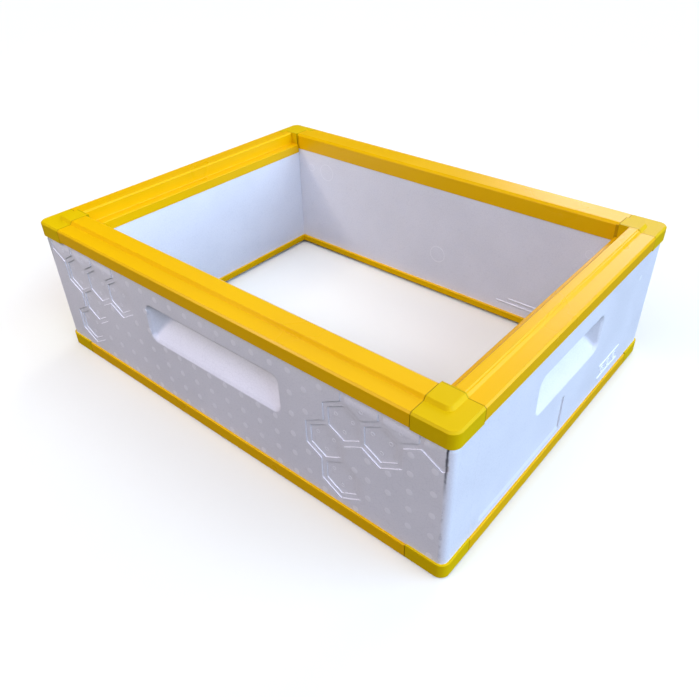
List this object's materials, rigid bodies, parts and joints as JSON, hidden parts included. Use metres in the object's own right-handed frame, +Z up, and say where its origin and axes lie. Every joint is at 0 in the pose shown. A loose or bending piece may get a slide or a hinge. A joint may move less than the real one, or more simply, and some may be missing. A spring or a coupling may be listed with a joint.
{
  "type": "langstroth hive box",
  "caption": "Medium Langstroth hive box: dovetailed white foam walls with handholds and honeycomb relief, capped by yellow plastic edge rings with frame rests and a stacking ridge.",
  "frame": {"origin": "centre of the footprint, on the surface that the box stands on", "axes": "+X along the long sides to the right, +Y from the front to the back, +Z up"},
  "size_m": [0.55, 0.415, 0.1694],
  "materials": {
    "foam": "moulded white expanded polystyrene, satin skin with a fine bead texture",
    "rail_plastic": "moulded amber yellow plastic, semi-gloss",
    "corner_plastic": "moulded lemon yellow plastic, semi-gloss, slightly greener than the rails"
  },
  "bodies": {
    "root": {"front_side_panel": "foam", "back_side_panel": "foam", "left_end_panel": "foam", "right_end_panel": "foam", "top_front_rail": "rail_plastic", "top_back_rail": "rail_plastic", "top_left_rail": "rail_plastic", "top_right_rail": "rail_plastic", "bottom_front_rail": "rail_plastic", "bottom_back_rail": "rail_plastic", "bottom_left_rail": "rail_plastic", "bottom_right_rail": "rail_plastic", "top_corner_front_left": "corner_plastic", "top_corner_front_right": "corner_plastic", "top_corner_back_left": "corner_plastic", "top_corner_back_right": "corner_plastic", "bottom_corner_front_left": "corner_plastic", "bottom_corner_front_right": "corner_plastic", "bottom_corner_back_left": "corner_plastic", "bottom_corner_back_right": "corner_plastic"}
  },
  "joints": []
}
